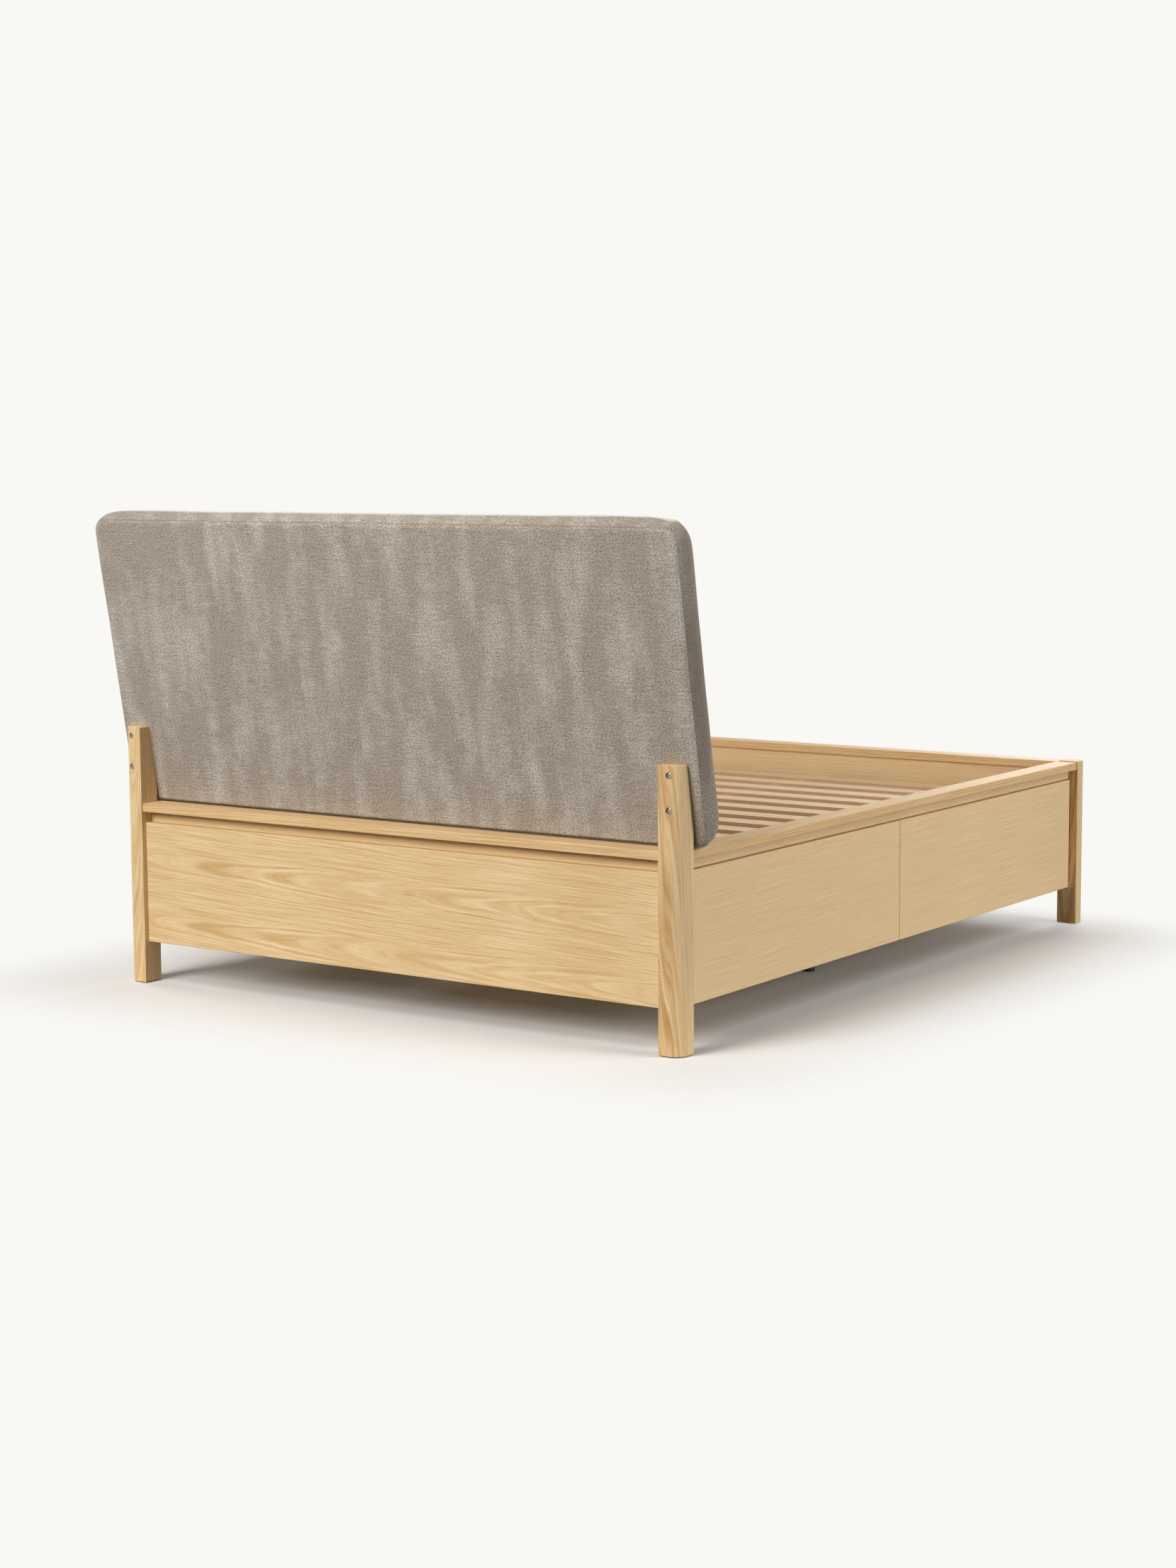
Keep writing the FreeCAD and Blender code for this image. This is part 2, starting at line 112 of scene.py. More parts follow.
# Metal and plastic
scuff_size = 2.0 * mm
dust_size = 22.0 * mm

# Chenille: tones, and weft nubs drawn about twice as coarse as real ones so that they show
# The nap's last tone is the side borders' darker tone: partly the nap lying the other way, partly
# painted shade
nap_tones = dict(flat="#c2b5a5", brushed="#e7ded2", valley="#675b4f", nap_against_and_shade="#64584b")
# Colour of the painted highlight along the top border
top_highlight_colour = "#f6f2ee"
seam_shade_colour = "#3c342c"
sheen_colour = "#d9d0c5"
nub_width, nub_height = 4.6 * mm, 3.8 * mm
thread_length, thread_height = 50.0 * mm, 3.0 * mm
nap_streak_width, nap_streak_length = 70.0 * mm, 280.0 * mm
mottle_size = 35.0 * mm

# Padded headboard, with the sizes of its solid
lean = math.radians(10.0)
pad_half_width = 901.0 * mm
pad_length = 756.0 * mm
pad_thickness = 85.0 * mm
pad_bottom = 480.5 * mm
pad_set_in = 69.32 * mm
pad_corner_radius = 38.0 * mm
pad_front_corner_radius = 80.0 * mm
pad_corner_growth = 3
pad_least_radius = 14.0 * mm
pad_back_radius = 17.0 * mm
pad_front_radius = 45.0 * mm
pad_border_bulge = 6.0 * mm
pad_top_bow = 10.0 * mm
pad_top_bow_power = 10
pad_crown = 5.0 * mm
pad_crown_reach = 220.0 * mm
pad_face_inset = 62.0 * mm
pad_cell = 11.0 * mm
seam_angle = 36.0
seam_groove = 0.9 * mm
seam_roll = 0.4 * mm
seam_half_width = 3.2 * mm
stitch_half_width = 1.8 * mm
hem_low, hem_high = 2.0 * mm, 7.0 * mm

# Rings of points round the headboard: turns of its back and front rolls in degrees, and shares
back_turns = (0, 12, 22, 29, 33, seam_angle, 39, 43, 50, 64, 90)
border_shares = (0.25, 0.5, 0.75, 1.0)
front_turns = (12, 24, 36, 48, 60, 72, 84)
back_face_shares = (1.0, 0.75, 0.5, 0.25)
front_face_shares = (0.0, 0.25, 0.5, 0.75, 1.0)
rings_beside_seam = 6
rings_held_past_seam = 4
outward_step = 20.0 * mm

# Foam under the cloth
foam_rise_limit = 5.0 * mm
foam_pressure = 4.0
foam_frames = 20
rest_gap = 2.8 * mm
cloth_wave = 140.0 * mm
cloth_wave_height = 1.2 * mm
back_wave_share = 0.4


def linear(hex_colour):
    """An sRGB hex colour as the linear colour that a shader takes."""
    channels = [int(hex_colour[start:start + 2], 16) / 255 for start in (1, 3, 5)]
    return tuple(
        c / 12.92 if c <= 0.04045 else ((c + 0.055) / 1.055) ** 2.4 for c in channels
    ) + (1.0,)


def set_inputs(tree, node, inputs):
    """Sets a node's inputs to values, or links them to other nodes' sockets."""
    for socket, value in inputs.items():
        if isinstance(value, bpy.types.NodeSocket):
            tree.links.new(value, node.inputs[socket])
        else:
            node.inputs[socket].default_value = value


def add_node(tree, kind, inputs=None, **settings):
    """Adds a node, gives it its settings, and sets or links its inputs."""
    node = tree.nodes.new(kind)
    for name, value in settings.items():
        setattr(node, name, value)
    set_inputs(tree, node, inputs or {})
    return node


def new_material(name):
    """An empty material with its shader and output; returns it, its tree and its shader."""
    material = bpy.data.materials.new(name)
    material.use_nodes = True
    tree = material.node_tree
    tree.nodes.clear()
    shader = add_node(tree, "ShaderNodeBsdfPrincipled")
    add_node(tree, "ShaderNodeOutputMaterial", {"Surface": shader.outputs["BSDF"]})
    return material, tree, shader


def dress(node, material):
    """Gives a CAD node one material."""
    mesh = frame["nodes"][node].data
    mesh.materials.clear()
    mesh.materials.append(material)


# Camera

camera = bpy.data.objects.new("camera", bpy.data.cameras.new("camera"))
scene.collection.objects.link(camera)
camera.data.lens = camera.data.sensor_width * focal_pixels / picture_height
camera.matrix_world = (
    Matrix.Translation(camera_place)
    @ Matrix.Rotation(math.radians(camera_heading), 4, "Z")
    @ Matrix.Rotation(math.radians(90 - camera_dip), 4, "X")
    @ Matrix.Rotation(math.radians(camera_roll), 4, "Z")
)
scene.camera = camera

# Light, floor and background

scene.view_settings.view_transform = "Standard"


def area_light(name, place, target, size, power):
    """A square soft lamp at a place, turned to a target; its size in metres, its power in watts."""
    light = bpy.data.lights.new(name, "AREA")
    light.shape = "SQUARE"
    light.size = size
    light.energy = power
    lamp = bpy.data.objects.new(name, light)
    lamp.location = place
    lamp.rotation_euler = (Vector(target) - Vector(place)).to_track_quat("-Z", "Y").to_euler()
    scene.collection.objects.link(lamp)


head_end = (0, 0.9, 0.45)
area_light("head", (1.2, 7.2, 3.75), head_end, size=3.0, power=410)
area_light("above_head", (0.3, 3.4, 4.6), head_end, size=2.4, power=90)
area_light("side", (-6.6, -0.3, 1.7), (-0.6, -0.1, 0.35), size=2.2, power=168)
area_light("above_side", (-4.6, -1.0, 4.2), (-0.6, 0.0, 0.3), size=3.0, power=90)
area_light("foot", (0.8, -6.5, 2.2), (0, -0.9, 0.4), size=3.0, power=200)
area_light("right", (6.5, -0.3, 2.0), (0.6, -0.1, 0.35), size=2.2, power=120)


def looked_at(tree):
    """A socket that is 1 where a surface is seen, also in gloss or through glass, and else 0."""
    path = add_node(tree, "ShaderNodeLightPath")
    mirrored = add_node(
        tree, "ShaderNodeMath",
        {0: path.outputs["Is Camera Ray"], 1: path.outputs["Is Glossy Ray"]},
        operation="MAXIMUM"
    )
    seen = add_node(
        tree, "ShaderNodeMath",
        {0: mirrored.outputs[0], 1: path.outputs["Is Transmission Ray"]},
        operation="MAXIMUM"
    )
    return seen.outputs[0]


world = bpy.data.worlds.new("studio")
scene.world = world
world.use_nodes = True
sky = world.node_tree
sky.nodes.clear()
ambient = add_node(
    sky, "ShaderNodeBackground",
    {"Color": linear(ambient_colour), "Strength": ambient_strength}
)
backdrop = add_node(
    sky, "ShaderNodeBackground", {"Color": linear(backdrop_colour), "Strength": 1.0}
)
sky_mix = add_node(
    sky, "ShaderNodeMixShader",
    {0: looked_at(sky), 1: ambient.outputs[0], 2: backdrop.outputs[0]}
)
add_node(sky, "ShaderNodeOutputWorld", {"Surface": sky_mix.outputs[0]})


def studio_floor(name):
    """Matt pale paint: no gloss, and clear away from the bed, where the background takes over."""
    material, tree, shader = new_material(name)
    tone = add_node(
        tree, "ShaderNodeMix",
        {
            share_in: looked_at(tree),
            first_in: linear(floor_bounce_colour),
            second_in: linear(floor_seen_colour),
        },
        data_type="RGBA"
    )
    set_inputs(tree, shader, {
        "Base Color": tone.outputs[colour_out],
        "Roughness": 0.9,
        "Specular IOR Level": 0.0,
    })
    # The way to the nearest point of the bed's outline on the floor
    place = add_node(tree, "ShaderNodeTexCoord")
    half_sizes = (cad_box[1][0], cad_box[1][1] - foot_fade / 2, 0.0)
    centred = add_node(
        tree, "ShaderNodeVectorMath",
        {0: place.outputs["Object"], 1: (0.0, foot_fade / 2, 0.0)},
        operation="SUBTRACT"
    )
    folded = add_node(
        tree, "ShaderNodeVectorMath", {0: centred.outputs[0]}, operation="ABSOLUTE"
    )
    outside = add_node(
        tree, "ShaderNodeVectorMath",
        {0: folded.outputs[0], 1: half_sizes},
        operation="SUBTRACT"
    )
    away = add_node(
        tree, "ShaderNodeVectorMath",
        {0: outside.outputs[0], 1: (0.0, 0.0, 0.0)},
        operation="MAXIMUM"
    )
    reach = add_node(tree, "ShaderNodeVectorMath", {0: away.outputs[0]}, operation="LENGTH")
    fade = add_node(
        tree, "ShaderNodeMapRange",
        {"Value": reach.outputs["Value"], "From Min": 0.0, "From Max": floor_fade_reach},
        interpolation_type="SMOOTHSTEP"
    )
    clear = add_node(tree, "ShaderNodeBsdfTransparent")
    faded = add_node(
        tree, "ShaderNodeMixShader",
        {0: fade.outputs[0], 1: shader.outputs[0], 2: clear.outputs[0]}
    )
    set_inputs(tree, tree.nodes["Material Output"], {"Surface": faded.outputs[0]})
    return material


bpy.ops.mesh.primitive_circle_add(
    vertices=96, radius=floor_radius, fill_type="NGON", location=(0, 0, 0)
)
floor = bpy.context.object
floor.name = "floor"
floor.data.materials.append(studio_floor("pale_studio_floor"))

# Wood. Each board is cut from a log: its rings are cylinders round a pith line that runs along
# the board, so a face near the pith shows arches and a face square to the rings straight lines.

along_x_upright = (0, 2, 1)
along_x_flat = (0, 1, 2)
upright_facing_end = (2, 0, 1)


def grain_axes(node):
    """The axes along the grain, across the board and through its thickness."""
    if node == "slats" or node == "beam_rests":
        return along_x_flat
    if node.endswith("_sides"):
        return along_x_upright
    if "_post_" in node:
        return upright_facing_end
    low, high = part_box(node)
    return sorted(range(3), key=lambda axis: -round(high[axis] - low[axis], 4))


def board_coordinates(tree, node):
    """A socket with the place in a board, from its middle: along the grain, across, through."""
    low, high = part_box(node)
    coordinates = add_node(tree, "ShaderNodeTexCoord")
    centred = add_node(
        tree, "ShaderNodeVectorMath",
        {0: coordinates.outputs["Object"], 1: (low + high) / 2},
        operation="SUBTRACT"
    )
    axes = add_node(tree, "ShaderNodeSeparateXYZ", {0: centred.outputs[0]})
    order = {index: axes.outputs[axis] for index, axis in enumerate(grain_axes(node))}
    return add_node(tree, "ShaderNodeCombineXYZ", order).outputs[0]


def oak(
    name, node, seed, tones, ring, pith, drift, contrast,
    leaf=None, bend=3.0 * mm, painted_side_highlight=0.0
):
    """Oak, planed and oiled: nearly matt, with dark porous lines where each year's ring begins.

    The rings lie round a pith at a place across and below the board, which drifts along it.
    A veneer repeats the same cut in every leaf.
    """
    material, tree, shader = new_material(name)
    board = board_coordinates(tree, node)
    seeded = add_node(
        tree, "ShaderNodeVectorMath",
        {0: board, 1: (seed * 3.7, seed * 1.3, seed * 0.7)},
        operation="ADD"
    )
    # Slow wander of the fibres, five times longer along the grain than across it
    stretched = add_node(
        tree, "ShaderNodeVectorMath",
        {0: seeded.outputs[0], 1: (0.2, 1.0, 1.0)},
        operation="MULTIPLY"
    )
    wander = add_node(
        tree, "ShaderNodeTexNoise",
        {"Vector": stretched.outputs[0], "Scale": 1 / wander_width, "Detail": 3.0}
    )
    wander_middle = add_node(
        tree, "ShaderNodeVectorMath",
        {0: wander.outputs["Color"], 1: (0.5, 0.5, 0.5)},
        operation="SUBTRACT"
    )
    bent = add_node(
        tree, "ShaderNodeVectorMath",
        {0: wander_middle.outputs[0], 1: (0.0, bend * 2, bend * 2), 2: board},
        operation="MULTIPLY_ADD"
    )
    along, across, through = add_node(
        tree, "ShaderNodeSeparateXYZ", {0: bent.outputs[0]}
    ).outputs
    if leaf:
        across = add_node(
            tree, "ShaderNodeMath", {0: across, 1: leaf / 2, 2: -leaf / 2}, operation="WRAP"
        ).outputs[0]
    # Years are counted outwards from the pith
    in_leaf = add_node(tree, "ShaderNodeCombineXYZ", {1: across, 2: through})
    travelled = add_node(tree, "ShaderNodeCombineXYZ", {1: along, 2: along})
    from_pith = add_node(
        tree, "ShaderNodeVectorMath", {0: in_leaf.outputs[0], 1: (0.0, *pith)}, operation="ADD"
    )
    spoke = add_node(
        tree, "ShaderNodeVectorMath",
        {0: travelled.outputs[0], 1: (0.0, *drift), 2: from_pith.outputs[0]},
        operation="MULTIPLY_ADD"
    )
    radius = add_node(tree, "ShaderNodeVectorMath", {0: spoke.outputs[0]}, operation="LENGTH")
    years = add_node(
        tree, "ShaderNodeMath", {0: radius.outputs["Value"], 1: ring}, operation="DIVIDE"
    )
    weather = add_node(
        tree, "ShaderNodeTexNoise",
        {"W": years.outputs[0], "Scale": 0.35, "Detail": 2.0},
        noise_dimensions="1D"
    )
    uneven = add_node(
        tree, "ShaderNodeMath",
        {0: weather.outputs[0], 1: 2.4, 2: years.outputs[0]},
        operation="MULTIPLY_ADD"
    )
    year = add_node(tree, "ShaderNodeMath", {0: uneven.outputs[0]}, operation="FRACT")
    # A ring starts with a dark porous line and pales towards its end
    early = add_node(
        tree, "ShaderNodeMapRange",
        {"Value": year.outputs[0], "From Max": 0.5, "To Min": 1.0, "To Max": 0.0},
        interpolation_type="SMOOTHSTEP"
    )
    onset = add_node(
        tree, "ShaderNodeMapRange",
        {"Value": year.outputs[0], "From Min": 0.85},
        interpolation_type="SMOOTHSTEP"
    )
    ring_line = add_node(
        tree, "ShaderNodeMath", {0: early.outputs[0], 1: onset.outputs[0]}, operation="MAXIMUM"
    )
    # Lean and full years leave weak and strong lines
    harvest = add_node(
        tree, "ShaderNodeTexNoise",
        {"W": years.outputs[0], "Scale": 0.8, "Detail": 3.0},
        noise_dimensions="1D"
    )
    strength = add_node(
        tree, "ShaderNodeMapRange",
        {"Value": harvest.outputs[0], "From Min": 0.35, "From Max": 0.65, "To Min": 0.15}
    )
    line = add_node(
        tree, "ShaderNodeMath",
        {0: ring_line.outputs[0], 1: strength.outputs[0]},
        operation="MULTIPLY"
    )
    # Pores are dashes along the grain, more of them in the ring lines
    pore_grid = add_node(
        tree, "ShaderNodeVectorMath",
        {0: seeded.outputs[0], 1: (1 / pore_length, 1 / pore_width, 1 / pore_width)},
        operation="MULTIPLY"
    )
    pore_noise = add_node(
        tree, "ShaderNodeTexNoise",
        {"Vector": pore_grid.outputs[0], "Scale": 1.0, "Detail": 1.0}
    )
    pores = add_node(
        tree, "ShaderNodeMapRange",
        {"Value": pore_noise.outputs[0], "From Min": 0.52, "From Max": 0.68},
        interpolation_type="SMOOTHSTEP"
    )
    pore_share = add_node(
        tree, "ShaderNodeMapRange", {"Value": line.outputs[0], "To Min": 0.35}
    )
    pore_line = add_node(
        tree, "ShaderNodeMath",
        {0: pores.outputs[0], 1: pore_share.outputs[0]},
        operation="MULTIPLY"
    )
    # Bands of stronger and weaker figure
    band_grid = add_node(
        tree, "ShaderNodeVectorMath",
        {0: seeded.outputs[0], 1: (1 / band_length, 1 / band_width, 1 / band_width)},
        operation="MULTIPLY"
    )
    bands = add_node(
        tree, "ShaderNodeTexNoise",
        {"Vector": band_grid.outputs[0], "Scale": 1.0, "Detail": 2.0}
    )
    band_share = add_node(
        tree, "ShaderNodeMapRange",
        {
            "Value": bands.outputs[0], "From Min": 0.3, "From Max": 0.7,
            "To Min": 0.15 * contrast, "To Max": 0.5 * contrast,
        }
    )
    figure = add_node(
        tree, "ShaderNodeMath",
        {0: line.outputs[0], 1: band_share.outputs[0]},
        operation="MULTIPLY"
    )
    # Fibre lines follow the rings
    on_ring = add_node(tree, "ShaderNodeCombineXYZ", {0: along, 1: radius.outputs["Value"]})
    fibre_grid = add_node(
        tree, "ShaderNodeVectorMath",
        {
            0: on_ring.outputs[0],
            1: (1 / fibre_length, 1 / fibre_width, 0.0),
            2: (seed, 0.0, seed),
        },
        operation="MULTIPLY_ADD"
    )
    fibres = add_node(
        tree, "ShaderNodeTexNoise",
        {"Vector": fibre_grid.outputs[0], "Scale": 1.0, "Detail": 3.0}
    )
    fibre_share = add_node(
        tree, "ShaderNodeMapRange",
        {"Value": fibres.outputs[0], "From Min": 0.36, "From Max": 0.66, "To Max": contrast}
    )
    figure_tone = add_node(
        tree, "ShaderNodeMath",
        {0: figure.outputs[0], 1: fibre_share.outputs[0]},
        operation="ADD", use_clamp=True
    )
    tone = add_node(
        tree, "ShaderNodeMix",
        {
            share_in: figure_tone.outputs[0],
            first_in: linear(tones["pale"]),
            second_in: linear(tones["mid"]),
        },
        data_type="RGBA"
    )
    # Painted highlight: faces that look sideways are painted paler, standing for the side light
    # that falls on them
    surface = add_node(tree, "ShaderNodeNewGeometry")
    facing = add_node(tree, "ShaderNodeSeparateXYZ", {0: surface.outputs["Normal"]})
    sideways = add_node(
        tree, "ShaderNodeMath", {0: facing.outputs["X"]}, operation="ABSOLUTE"
    )
    # Share of the painted side highlight on this face
    quarter = add_node(
        tree, "ShaderNodeMath", {0: sideways.outputs[0], 1: painted_side_highlight}, operation="MULTIPLY"
    )
    side_highlight_tone = add_node(
        tree, "ShaderNodeMix",
        {
            share_in: figure_tone.outputs[0],
            first_in: linear(veneer_oak["pale"]),
            second_in: linear(side_highlight_mid),
        },
        data_type="RGBA"
    )
    side_lit_tone = add_node(
        tree, "ShaderNodeMix",
        {
            share_in: quarter.outputs[0],
            first_in: tone.outputs[colour_out],
            second_in: side_highlight_tone.outputs[colour_out],
        },
        data_type="RGBA"
    )
    pore_tone = add_node(
        tree, "ShaderNodeMath",
        {0: pore_line.outputs[0], 1: 0.48 * contrast},
        operation="MULTIPLY"
    )
    colour = add_node(
        tree, "ShaderNodeMix",
        {
            share_in: pore_tone.outputs[0],
            first_in: side_lit_tone.outputs[colour_out],
            second_in: linear(tones["dark"]),
        },
        data_type="RGBA"
    )
    rough = add_node(
        tree, "ShaderNodeMapRange",
        {"Value": pore_line.outputs[0], "To Min": 0.58, "To Max": 0.72}
    )
    relief = add_node(
        tree, "ShaderNodeBump",
        {"Height": pore_line.outputs[0], "Strength": 0.35, "Distance": 0.25 * mm},
        invert=True
    )
    set_inputs(tree, shader, {
        "Base Color": colour.outputs[colour_out],
        "Roughness": rough.outputs[0],
        "Normal": relief.outputs[0],
        "IOR": 1.5,
        "Specular IOR Level": 0.22,
    })
    return material


crown_cut_veneer = dict(
    tones=veneer_oak, ring=3.4 * mm, pith=(-45.0 * mm, 70.0 * mm), drift=(-0.018, 0.017),
    contrast=0.8, leaf=159.0 * mm, bend=4.0 * mm
)
rift_cut_veneer = dict(
    tones=veneer_oak, ring=3.2 * mm, pith=(300.0 * mm, 260.0 * mm), drift=(0.012, 0.006),
    contrast=0.4, leaf=158.0 * mm
)
# The posts carry a painted highlight on their sideways faces
flat_sawn_post = dict(
    tones=solid_oak, ring=3.6 * mm, pith=(0.0, 32.0 * mm), drift=(0.004, -0.03),
    contrast=0.9, painted_side_highlight=0.9
)
pale_post = dict(flat_sawn_post, tones=veneer_oak, painted_side_highlight=0.0)
# The aprons take the veneer's paler tones: painted paler than the solid rails, to offset the shade
# and warm bounce light in their recess under the rails
rift_sawn_apron_painted_paler = dict(
    tones=veneer_oak, ring=3.4 * mm, pith=(90.0 * mm, 120.0 * mm), drift=(0.0, 0.01),
    contrast=0.5
)
rift_sawn_rail = dict(
    tones=solid_oak, ring=3.4 * mm, pith=(70.0 * mm, 90.0 * mm), drift=(0.0, 0.012),
    contrast=0.6
)


def oak_cut(node):
    """The way in which a board was cut from its log."""
    if node.endswith("_panel"):
        return crown_cut_veneer
    if node.endswith("_front"):
        return rift_cut_veneer
    if node == "head_post_right":
        return pale_post
    if "_post_" in node:
        return flat_sawn_post
    if "_apron" in node:
        return rift_sawn_apron_painted_paler
    return rift_sawn_rail


def beech(name, node):
    """Beech, planed: even pinkish tan with short dark ray flecks about 5 mm long."""
    material, tree, shader = new_material(name)
    board = board_coordinates(tree, node)
    fleck_grid = add_node(
        tree, "ShaderNodeVectorMath",
        {0: board, 1: (1 / fleck_length, 1 / fleck_width, 1 / fleck_width)},
        operation="MULTIPLY"
    )
    fleck_noise = add_node(
        tree, "ShaderNodeTexNoise",
        {"Vector": fleck_grid.outputs[0], "Scale": 1.0, "Detail": 1.0}
    )
    flecks = add_node(
        tree, "ShaderNodeMapRange",
        {"Value": fleck_noise.outputs[0], "From Min": 0.58, "From Max": 0.7, "To Max": 0.6},
        interpolation_type="SMOOTHSTEP"
    )
    streak_grid = add_node(
        tree, "ShaderNodeVectorMath",
        {
            0: board,
            1: (1 / beech_streak_length, 1 / beech_streak_width, 1 / beech_streak_width),
        },
        operation="MULTIPLY"
    )
    streaks = add_node(
        tree, "ShaderNodeTexNoise",
        {"Vector": streak_grid.outputs[0], "Scale": 1.0, "Detail": 3.0}
    )
    tone = add_node(
        tree, "ShaderNodeMix",
        {
            share_in: streaks.outputs[0],
            first_in: linear(beech_tones["pale"]),
            second_in: linear(beech_tones["mid"]),
        },
        data_type="RGBA"
    )
    colour = add_node(
        tree, "ShaderNodeMix",
        {
            share_in: flecks.outputs[0],
            first_in: tone.outputs[colour_out],
            second_in: linear(beech_tones["fleck"]),
        },
        data_type="RGBA"
    )
    rough = add_node(
        tree, "ShaderNodeMapRange",
        {"Value": streaks.outputs[0], "To Min": 0.5, "To Max": 0.65}
    )
    relief = add_node(
        tree, "ShaderNodeBump",
        {"Height": flecks.outputs[0], "Strength": 0.2, "Distance": 0.15 * mm}
    )
    set_inputs(tree, shader, {
        "Base Color": colour.outputs[colour_out],
        "Roughness": rough.outputs[0],
        "Normal": relief.outputs[0],
        "IOR": 1.5,
    })
    return material


def plywood(name, node):
    """Birch plywood, sanded: pale faces with broad soft figure, and plies on the edges."""
    material, tree, shader = new_material(name)
    board = board_coordinates(tree, node)
    figure_grid = add_node(
        tree, "ShaderNodeVectorMath",
        {
            0: board,
            1: (1 / birch_figure_length, 1 / birch_figure_width, 1 / birch_figure_width),
        },
        operation="MULTIPLY"
    )
    figure = add_node(
        tree, "ShaderNodeTexNoise",
        {"Vector": figure_grid.outputs[0], "Scale": 1.0, "Detail": 4.0, "Distortion": 0.6}
    )
    fibre_grid = add_node(
        tree, "ShaderNodeVectorMath",
        {
            0: board,
            1: (1 / birch_fibre_length, 1 / birch_fibre_width, 1 / birch_fibre_width),
        },
        operation="MULTIPLY"
    )
    fibres = add_node(
        tree, "ShaderNodeTexNoise",
        {"Vector": fibre_grid.outputs[0], "Scale": 1.0, "Detail": 2.0}
    )
    face_tone = add_node(
        tree, "ShaderNodeMix",
        {
            share_in: figure.outputs[0],
            first_in: linear(birch_tones["pale"]),
            second_in: linear(birch_tones["mid"]),
        },
        data_type="RGBA"
    )
    face = add_node(
        tree, "ShaderNodeMix",
        {
            share_in: fibres.outputs[0],
            first_in: face_tone.outputs[colour_out],
            second_in: linear(birch_tones["fibre"]),
        },
        data_type="RGBA"
    )
    # Plies are pale and brown in turn
    depth = add_node(tree, "ShaderNodeSeparateXYZ", {0: board}).outputs["Z"]
    ply = add_node(tree, "ShaderNodeMath", {0: depth, 1: ply_thickness}, operation="PINGPONG")
    brown_ply = add_node(
        tree, "ShaderNodeMapRange",
        {"Value": ply.outputs[0], "From Min": 0.5 * mm, "From Max": 0.9 * mm},
        interpolation_type="SMOOTHSTEP"
    )
    edge_tone = add_node(
        tree, "ShaderNodeMix",
        {
            share_in: brown_ply.outputs[0],
            first_in: linear(ply_tones["pale"]),
            second_in: linear(ply_tones["brown"]),
        },
        data_type="RGBA"
    )
    facing = add_node(tree, "ShaderNodeTexCoord")
    facing_axes = add_node(tree, "ShaderNodeSeparateXYZ", {0: facing.outputs["Normal"]})
    through = facing_axes.outputs[grain_axes(node)[2]]
    on_face = add_node(tree, "ShaderNodeMath", {0: through}, operation="ABSOLUTE")
    colour = add_node(
        tree, "ShaderNodeMix",
        {
            share_in: on_face.outputs[0],
            first_in: edge_tone.outputs[colour_out],
            second_in: face.outputs[colour_out],
        },
        data_type="RGBA"
    )
    rough = add_node(
        tree, "ShaderNodeMapRange",
        {"Value": fibres.outputs[0], "To Min": 0.5, "To Max": 0.7}
    )
    relief = add_node(
        tree, "ShaderNodeBump",
        {"Height": fibres.outputs[0], "Strength": 0.15, "Distance": 0.1 * mm}
    )
    set_inputs(tree, shader, {
        "Base Color": colour.outputs[colour_out],
        "Roughness": rough.outputs[0],
        "Normal": relief.outputs[0],
        "IOR": 1.5,
    })
    return material


def plated_metal(name, pale, dark, crystal, smooth, rough):
    """Plated steel: metal with faint patches of a crystal's size that differ in tone and gloss."""
    material, tree, shader = new_material(name)
    place = add_node(tree, "ShaderNodeTexCoord").outputs["Object"]
    crystals = add_node(tree, "ShaderNodeTexVoronoi", {"Vector": place, "Scale": 1 / crystal})
    tone = add_node(tree, "ShaderNodeSeparateColor", {0: crystals.outputs["Color"]})
    colour = add_node(
        tree, "ShaderNodeMix",
        {share_in: tone.outputs[0], first_in: linear(pale), second_in: linear(dark)},
        data_type="RGBA"
    )
    scuffs = add_node(
        tree, "ShaderNodeTexNoise", {"Vector": place, "Scale": 1 / scuff_size, "Detail": 4.0}
    )
    gloss = add_node(
        tree, "ShaderNodeMapRange",
        {"Value": scuffs.outputs[0], "To Min": smooth, "To Max": rough}
    )
    set_inputs(tree, shader, {
        "Base Color": colour.outputs[colour_out],
        "Roughness": gloss.outputs[0],
        "Metallic": 1.0,
    })
    return material


def dark_coat(name, tone, worn_tone, grit, smooth, rough):
    """A black skin over metal or moulded plastic: dull, with an orange-peel of a grit's size."""
    material, tree, shader = new_material(name)
    place = add_node(tree, "ShaderNodeTexCoord").outputs["Object"]
    peel = add_node(
        tree, "ShaderNodeTexNoise", {"Vector": place, "Scale": 1 / grit, "Detail": 2.0}
    )
    dust = add_node(
        tree, "ShaderNodeTexNoise", {"Vector": place, "Scale": 1 / dust_size, "Detail": 3.0}
    )
    colour = add_node(
        tree, "ShaderNodeMix",
        {share_in: dust.outputs[0], first_in: linear(tone), second_in: linear(worn_tone)},
        data_type="RGBA"
    )
    gloss = add_node(
        tree, "ShaderNodeMapRange",
        {"Value": dust.outputs[0], "To Min": smooth, "To Max": rough}
    )
    relief = add_node(
        tree, "ShaderNodeBump",
        {"Height": peel.outputs[0], "Strength": 0.3, "Distance": 0.1 * mm}
    )
    set_inputs(tree, shader, {
        "Base Color": colour.outputs[colour_out],
        "Roughness": gloss.outputs[0],
        "Normal": relief.outputs[0],
    })
    return material


